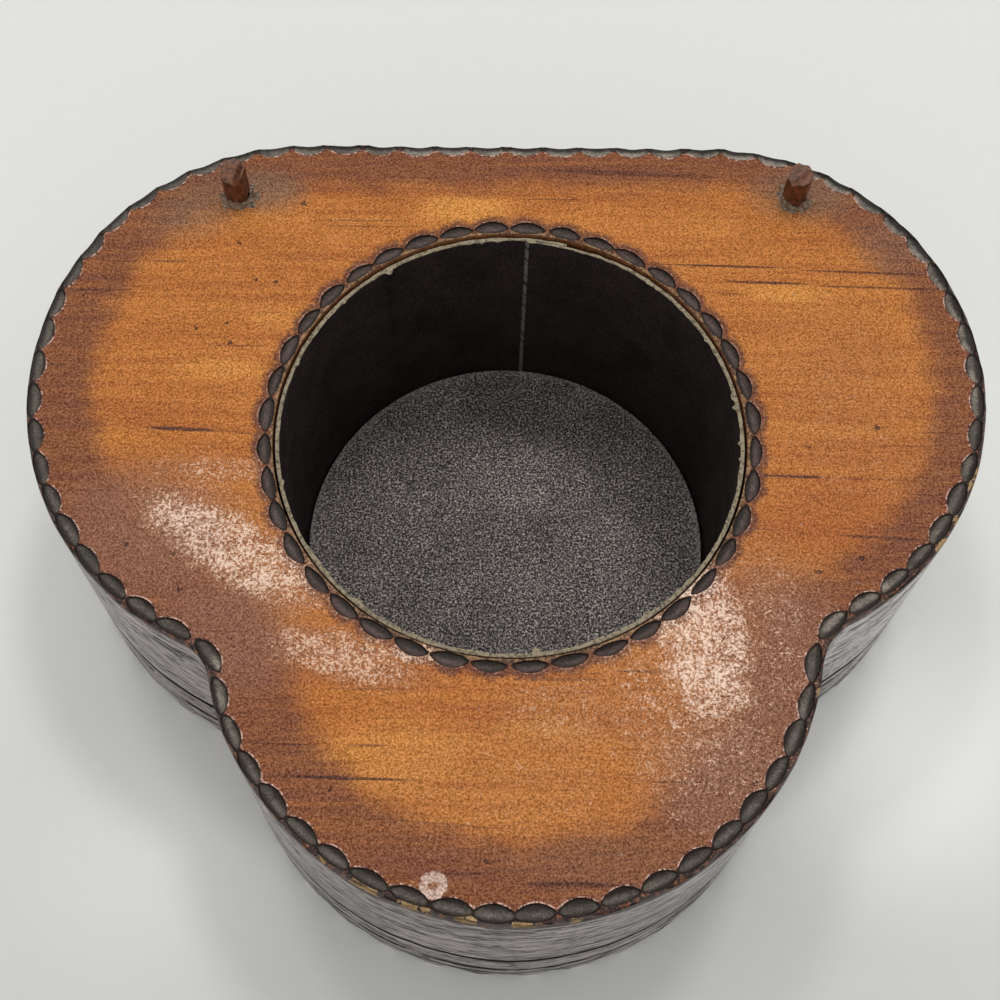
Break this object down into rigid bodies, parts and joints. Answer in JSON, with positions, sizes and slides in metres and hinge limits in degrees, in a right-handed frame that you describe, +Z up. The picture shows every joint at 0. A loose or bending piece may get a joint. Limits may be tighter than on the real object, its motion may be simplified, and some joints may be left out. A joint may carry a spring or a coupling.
{
  "type": "trinket box body",
  "caption": "Three-lobed carved wooden trinket box body with a straight back, a round lined well, nicked edges and whittled pegs that located its lost lid.",
  "frame": {"origin": "on the axis of the round well, on the underside of the base board", "axes": "+X along the straight back, +Y towards the straight back, +Z up"},
  "size_m": [0.1381, 0.1185, 0.0515],
  "materials": {
    "stained_pine": "orange-amber stained pine under a bumpy gloss lacquer, darkened towards the edges",
    "dark_stain": "dark brown lacquered side grain with burnt nicks",
    "black_flock": "black flocked card with a tan cut edge",
    "grey_flock": "worn dark grey flock with dust",
    "peg_wood": "rough whittled wood under dark lacquer",
    "dry_glue": "crusty dry wood glue"
  },
  "bodies": {
    "root": {"body_block": "stained_pine", "base_board": "dark_stain", "wall_liner": "black_flock", "floor_liner": "grey_flock", "peg_left": "peg_wood", "peg_right": "peg_wood", "glue_bead_left": "dry_glue", "glue_bead_right": "dry_glue"}
  },
  "joints": []
}
